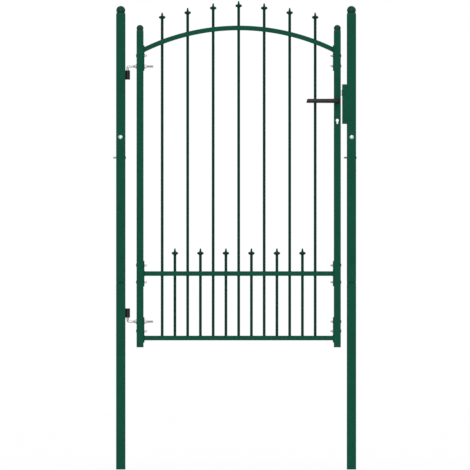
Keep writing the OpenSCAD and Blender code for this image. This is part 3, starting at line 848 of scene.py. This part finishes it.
class GATE_OT_post_fixings(Operator):
    """Add the screw on the front of each post and the through bolt for a neighbouring fence."""

    bl_idname = "gate.post_fixings"
    bl_label = "Post Fixings"

    def execute(self, context):
        s, made = context.scene.gate_sizes, finishes()
        bright, coat = made["bright zinc plate"], made["powder-coated steel"]
        front = spots(POSTS_X + POST_SCREW_OUT, POST_LOW[1], POST_SCREW_Z)
        head = aim(screw_head(s.screw_d, POST_SCREW_H, POST_SCREW_DRIVE, s.turns), "-Y")
        ring = washer(s.screw_d + POST_WASHER_MORE, POST_WASHER_BORE, POST_WASHER_T, s.turns)
        screws = [copies(head, front - [0, POST_SCREW_OFF, 0]), copies(aim(ring, "-Y"), front)]
        add_piece("post_screws", screws, "posts", bright)
        half, height = (POST_HIGH[0] - POST_LOW[0]) / 2, middle("fence_bolts")[2]
        end = aim(stud(FENCE_STUD_D / 2, FENCE_STUD, s.thread_pitch, s.turns // 2), "-X")
        dome = aim(turn(dome_profile(*FENCE_DOME), s.turns), "+X")
        ends = [copies(end, spots(POSTS_X - half, 0, height))]
        domes = [copies(dome, spots(POSTS_X + half, 0, height))]
        piece = add_piece("fence_bolt_studs", ends, "posts", bright)
        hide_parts("fence_bolts")
        add_piece("fence_bolt_heads", domes, "posts", coat)
        return {"FINISHED"}


# Lock

# Diameter, height and drive recess of a lock screw, and its way in from the face plate's ends
LOCK_SCREW = (7 * MM, 0.7 * MM, 2.6 * MM)
LOCK_SCREW_IN = 7 * MM


class GATE_OT_lock_screws(Operator):
    """Add the two sunk screws that hold the lock's face plate in the stile."""

    bl_idname = "gate.lock_screws"
    bl_label = "Lock Screws"

    def execute(self, context):
        s, zinc = context.scene.gate_sizes, finishes()["zinc-plated steel"]
        heights = [LOCK_LOW[2] + LOCK_SCREW_IN, LOCK_HIGH[2] - LOCK_SCREW_IN]
        head = aim(screw_head(*LOCK_SCREW, s.turns), "+X")
        heads = [copies(head, spots(LOCK_HIGH[0], 0, heights))]
        add_piece("lock_face_screws", heads, "leaf", zinc)
        return {"FINISHED"}


# Radius of a lever's elbow at its axis, the slant and the round edge of its free end, and how thin
# the bar gets there
LEVER_BEND = 14 * MM
LEVER_SLANT = math.tan(math.radians(15))
LEVER_EDGE = 2.5 * MM
LEVER_TAPER = 0.95
# Places along a lever's neck, and its radius there by the bar's
NECK_PLACES = np.array([0, 0, 0.12, 0.3, 0.5, 0.75, 1])[:, None]
NECK_WAIST = np.array([0, 1, 1, 0.94, 0.92, 0.94, 0.97])[:, None]
ELBOW_ROWS, BAR_ROWS, EDGE_ROWS = 15, 19, 7


def steps(first, last, count):
    """Even steps to last, one to a row, without the first value."""
    return np.linspace(first, last, count + 1)[1:, None]


def lever_bar(count):
    """A lever: a circle carried out along the neck, round the elbow and along the bar, whose
    free end is cut on a slant and rounded over. Made round the spindle, towards -Y and -X."""
    radius = (LEVER_HIGH[2] - LEVER_LOW[2]) / 2
    length = LEVER_HIGH[0] - LEVER_LOW[0] - radius
    reach = LEVER_HIGH[1] - LEVER_LOW[1] - radius
    angle = circle(count)
    across, up = np.cos(angle), np.sin(angle)
    neck = radius * NECK_WAIST
    neck_y = -NECK_PLACES * (reach - LEVER_BEND)
    bend = np.radians(steps(0, 90, ELBOW_ROWS))
    elbow = radius * steps(NECK_WAIST[-1, 0], 1, ELBOW_ROWS)
    out = LEVER_BEND + elbow * across
    share = steps(0, 1, BAR_ROWS)
    bar = radius * (1 - (1 - LEVER_TAPER) * share)
    bar_end = LEVER_SLANT * (radius * up + radius) - length + LEVER_EDGE
    over = np.radians(steps(0, 90, EDGE_ROWS))
    tip = radius * LEVER_TAPER
    end = np.append(tip - LEVER_EDGE * (1 - np.cos(over)), [[tip / 2], [0]], axis=0)
    near = np.append(LEVER_EDGE * (1 - np.sin(over)), [[0], [0]], axis=0)
    x = np.concatenate([
        neck * across,
        out * np.cos(bend) - LEVER_BEND,
        bar_end * share - LEVER_BEND * (1 - share),
        LEVER_SLANT * (end * up + radius) - length + near,
    ])
    y = np.concatenate([
        np.repeat(neck_y, count, axis=1),
        LEVER_BEND - reach - out * np.sin(bend),
        -reach - bar * across,
        -reach - end * across,
    ])
    return spots(x, y, np.concatenate([neck, elbow, bar, end]) * up)


# Play between a lever and its rose, and the round of the rose's outer and inner edge
ROSE_PLAY = 0.3 * MM
ROSE_SOFT = 1.6 * MM
ROSE_LIP = 0.5 * MM
ROSE_SOFT_ROWS, ROSE_LIP_ROWS = 7, 4


def rose_ring(count):
    """A rose: a closed profile with a large and a small round edge, turned round the spindle."""
    outer = (ROSE_HIGH[0] - ROSE_LOW[0]) / 2
    bore = (LEVER_HIGH[2] - LEVER_LOW[2]) / 2 + ROSE_PLAY
    thick = ROSE_HIGH[1] - ROSE_LOW[1]
    profile = np.concatenate([
        [[bore, 0], [outer, 0]],
        arc((outer - ROSE_SOFT, thick - ROSE_SOFT), ROSE_SOFT, 0, 90, ROSE_SOFT_ROWS),
        arc((bore + ROSE_LIP, thick - ROSE_LIP), ROSE_LIP, 90, 180, ROSE_LIP_ROWS),
        [[bore, 0]],
    ])
    return aim(turn(profile, count), "-Y")


class GATE_OT_levers(Operator):
    """Add the front and back levers and the round roses that they turn in."""

    bl_idname = "gate.levers"
    bl_label = "Levers"

    def execute(self, context):
        s, nylon = context.scene.gate_sizes, finishes()["moulded black nylon"]
        spindle = middle("front_rose") * [1, 0, 1]
        bar = lever_bar(s.turns) + [0, LEVER_HIGH[1], 0]
        ring = rose_ring(s.turns) + [0, ROSE_HIGH[1], 0]
        for side, flip in (("front", 1), ("back", -1)):
            mirror = np.array([1, flip, 1])
            lever = add_piece(f"{side}_lever_bar", [bar * mirror + spindle],
                              "handle", nylon)
            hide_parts(f"{side}_lever")
            rose = add_piece(f"{side}_rose_ring", [ring * mirror + spindle],
                             "leaf", nylon)
            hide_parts(f"{side}_rose")
        return {"FINISHED"}


# Welds

WELD_SHARP = math.radians(60)
# Radius of the beads round the pickets, and the points round each ring and each bead
PICKET_BEAD = 1.1 * MM
RING_ROWS, RING_COLUMNS = 24, 8
# Radius of the beads along the hinge barrels, their place beside the barrel, and how far they stop
# short of its ends
BARREL_BEAD = 2.2 * MM
BARREL_BEAD_X = 1.2 * MM
BARREL_BEAD_Y = 7.6 * MM
BARREL_BEAD_IN = 2 * MM
# Radius of the keep's short beads, their place, their length and their way in from the keep's ends
STITCH_BEAD = 1.9 * MM
STITCH_X = 1.4 * MM
STITCH_Y = 1.2 * MM
STITCH = 26 * MM
STITCH_IN = 6 * MM


def rail_beads(radius):
    """Beads round both ends of the three rails. The arched rail's section is stretched upwards
    where it meets the plates, by the length of its slope."""
    loops = []
    for x in (PLATE_HIGH[0], LATCH_PLATE_LOW[0]):
        arch_z, slope = arch_line(x)
        ends = [(middle("bottom_rail")[2], 1), (middle("middle_rail")[2], 1),
                (arch_z, math.hypot(1, slope))]
        for z, stretch in ends:
            loop = rounded_loop(RAIL_W, RAIL_W * stretch, RAIL_CORNER) + [x, 0, z]
            loops.append(bead(loop, radius, True))
    return loops


def ring_bead(places, slopes):
    """Round beads: a small circle carried round each picket, sheared to the slope of its rail."""
    angle, around = circle(RING_ROWS)[:, None], circle(RING_COLUMNS)
    out = PICKET_D / 2 + PICKET_BEAD * np.cos(around)
    ring = spots(out * np.cos(angle), out * np.sin(angle), PICKET_BEAD * np.sin(around))
    grid = copies(ring, places)
    grid[..., 2] += np.broadcast_to(slopes, len(places))[:, None, None] * ring[..., 0]
    return grid


def picket_beads():
    """Ring beads where the pickets go through or stand on the rails."""
    tall_x, short_x = (np.array([middle(node)[0] for node in nodes]) for nodes in (TALL, SHORT))
    every_x = np.concatenate([tall_x, short_x])
    arch_z, slope = arch_line(tall_x)
    lift = RAIL_W / 2 * np.hypot(1, slope)
    rows = [
        (every_x, MIDDLE_HIGH[2], 0), (every_x, MIDDLE_LOW[2], 0), (every_x, BOTTOM_HIGH[2], 0),
        (tall_x, arch_z + lift, slope), (tall_x, arch_z - lift, slope),
    ]
    return [ring_bead(spots(x, 0, z), tilt) for x, z, tilt in rows]


def barrel_beads():
    """Upright beads on both sides of each hinge barrel."""
    return [
        bead(spots(low[0] + BARREL_BEAD_X, y, [low[2] + BARREL_BEAD_IN, high[2] - BARREL_BEAD_IN]),
             BARREL_BEAD, False)
        for low, high in BARRELS for y in (-BARREL_BEAD_Y, BARREL_BEAD_Y)]


def keep_beads():
    """Short upright beads near the keep's ends, on its front and its back edge."""
    foot, top = KEEP_LOW[2] + STITCH_IN, KEEP_HIGH[2] - STITCH_IN
    return [
        bead(spots(LATCH_POST_LOW[0] + STITCH_X, y, stretch), STITCH_BEAD, False)
        for y in (KEEP_LOW[1] + STITCH_Y, KEEP_HIGH[1] - STITCH_Y)
        for stretch in ([foot, foot + STITCH], [top - STITCH, top])]


class GATE_OT_welds(Operator):
    """Add the painted weld beads at the rails, the pickets, the hinge barrels and the keep."""

    bl_idname = "gate.welds"
    bl_label = "Welds"

    def execute(self, context):
        s, made = context.scene.gate_sizes, finishes()
        coat, black = made["powder-coated steel"], made["black painted steel"]
        add_piece("rail_welds", rail_beads(s.bead_r), "leaf", coat, True, WELD_SHARP)
        add_piece("picket_welds", picket_beads(), "leaf", coat, True, WELD_SHARP)
        add_piece("hinge_welds", barrel_beads(), "posts", black, False, WELD_SHARP)
        add_piece("keep_welds", keep_beads(), "posts", coat, False, WELD_SHARP)
        return {"FINISHED"}


# Studio

# Width of the view at the gate, the camera's place, far off because the view is nearly flat, its
# sensor's width in millimetres, and how far it sees
PHOTO_WIDTH = 2027.4 * MM
EYE = np.array([492.7, -60000.0, 1011.4]) * MM
SENSOR = 36.0
SIGHT = 500
# Light from all round, the floor's half width and white, the share of it that glows, and its glow
AMBIENT = 0.35
FLOOR_REACH = 20
FLOOR_WHITE = 0.92
FLOOR_SHARE = 0.75
FLOOR_GLOW = 1.08
# Each lamp's name, azimuth, height and spread in degrees, and power
LAMPS = (
    ("key", -10, 25, 50, 1.55),
    ("fill", 32, 40, 50, 0.5),
    ("rear", 165, 40, 50, 0.7),
)


def add_lamp(name, azimuth, height, spread, power):
    """A broad, soft lamp far away: azimuth is measured from the camera's side towards +X and
    height above the floor."""
    data = bpy.data.lights.new(name, "SUN")
    data.angle, data.energy = math.radians(spread), power
    lamp = bpy.data.objects.new(name, data)
    bpy.context.scene.collection.objects.link(lamp)
    lamp.rotation_euler = (math.radians(90 - height), 0, math.radians(azimuth))


def mix_when_seen(tree, share, unseen, seen):
    """Mixes two shaders: a share of the second where the camera sees it, also in metal or through
    glass, and the first for all other light."""
    path = add_node(tree, "ShaderNodeLightPath").outputs
    ray = path["Is Camera Ray"]
    for kind in ("Is Glossy Ray", "Is Transmission Ray"):
        ray = add_node(tree, "ShaderNodeMath", {0: ray, 1: path[kind]},
                       {"operation": "MAXIMUM"}).outputs[0]
    part = add_node(tree, "ShaderNodeMath", {0: ray}, {"operation": "MULTIPLY"})
    part.inputs[1].default_value = share
    return add_node(tree, "ShaderNodeMixShader", {
        "Fac": part.outputs[0], 1: unseen.outputs[0], 2: seen.outputs[0]}).outputs[0]


def add_floor(scene):
    """A wide floor of matt white paper, which keeps shadows and glows a little where it is seen."""
    mesh = bpy.data.meshes.new("floor")
    square = FLOOR_REACH * np.array([(-1, -1, 0), (1, -1, 0), (1, 1, 0), (-1, 1, 0)], float)
    mesh.from_pydata(square.tolist(), [], [(0, 1, 2, 3)])
    floor = bpy.data.objects.new("floor", mesh)
    scene.collection.objects.link(floor)
    paper = bpy.data.materials.new("white paper")
    paper.use_nodes = True
    tree = paper.node_tree
    tree.nodes.remove(tree.nodes["Principled BSDF"])
    matt = add_node(tree, "ShaderNodeBsdfDiffuse", Color=(FLOOR_WHITE, FLOOR_WHITE, FLOOR_WHITE, 1))
    glow = add_node(tree, "ShaderNodeEmission", Color=(1, 1, 1, 1), Strength=FLOOR_GLOW)
    mixed = mix_when_seen(tree, FLOOR_SHARE, matt, glow)
    tree.links.new(mixed, tree.nodes["Material Output"].inputs["Surface"])
    mesh.materials.append(paper)


def add_surround(scene):
    """A white surround that lights the gate softly."""
    world = bpy.data.worlds.new("studio")
    scene.world = world
    world.use_nodes = True
    tree = world.node_tree
    dim = add_node(tree, "ShaderNodeBackground", Color=(1, 1, 1, 1), Strength=AMBIENT)
    white = add_node(tree, "ShaderNodeBackground", Color=(1, 1, 1, 1), Strength=1.0)
    mixed = mix_when_seen(tree, 1, dim, white)
    tree.links.new(mixed, tree.nodes["World Output"].inputs["Surface"])


def add_camera(scene):
    """A camera straight in front of the gate."""
    data = bpy.data.cameras.new("camera")
    data.sensor_width = SENSOR
    data.lens = SENSOR * -EYE[1] / PHOTO_WIDTH
    data.clip_end = SIGHT
    camera = bpy.data.objects.new("camera", data)
    scene.collection.objects.link(camera)
    camera.location = EYE
    camera.rotation_euler = (math.pi / 2, 0, 0)
    scene.camera = camera


class GATE_OT_studio(Operator):
    """Add the white floor, the white surround, the soft lamps and the camera."""

    bl_idname = "gate.studio"
    bl_label = "Studio"

    def execute(self, context):
        scene = context.scene
        scene.view_settings.view_transform = "Standard"
        add_floor(scene)
        add_surround(scene)
        for lamp in LAMPS:
            add_lamp(*lamp)
        add_camera(scene)
        return {"FINISHED"}


STEPS = (
    GATE_OT_coat, GATE_OT_caps, GATE_OT_arch, GATE_OT_pickets, GATE_OT_plate_bolts,
    GATE_OT_hinge_hooks, GATE_OT_levers, GATE_OT_post_fixings, GATE_OT_lock_screws,
    GATE_OT_welds, GATE_OT_studio,
)


class GATE_PT_sidebar(Panel):
    """Lists the gate's steps, sizes and colours."""

    bl_label = "Garden Gate"
    bl_idname = "GATE_PT_sidebar"
    bl_space_type = "VIEW_3D"
    bl_region_type = "UI"
    bl_category = "Gate"

    def draw(self, context):
        for step in STEPS:
            self.layout.operator(step.bl_idname)
        for group in (context.scene.gate_sizes, context.scene.gate_colours):
            for key in group.__annotations__:
                self.layout.prop(group, key)


CLASSES = (GateSizes, GateColours) + STEPS + (GATE_PT_sidebar,)


def register():
    """Adds the classes, and the sizes and colours to the scene."""
    for cls in CLASSES:
        bpy.utils.register_class(cls)
    bpy.types.Scene.gate_sizes = PointerProperty(type=GateSizes)
    bpy.types.Scene.gate_colours = PointerProperty(type=GateColours)


def unregister():
    """Takes away what register adds."""
    del bpy.types.Scene.gate_colours
    del bpy.types.Scene.gate_sizes
    for cls in reversed(CLASSES):
        bpy.utils.unregister_class(cls)


def main():
    """Makes the gate step by step."""
    register()
    for step in STEPS:
        group, name = step.bl_idname.split(".")
        getattr(getattr(bpy.ops, group), name)()


if __name__ == "__main__":
    main()
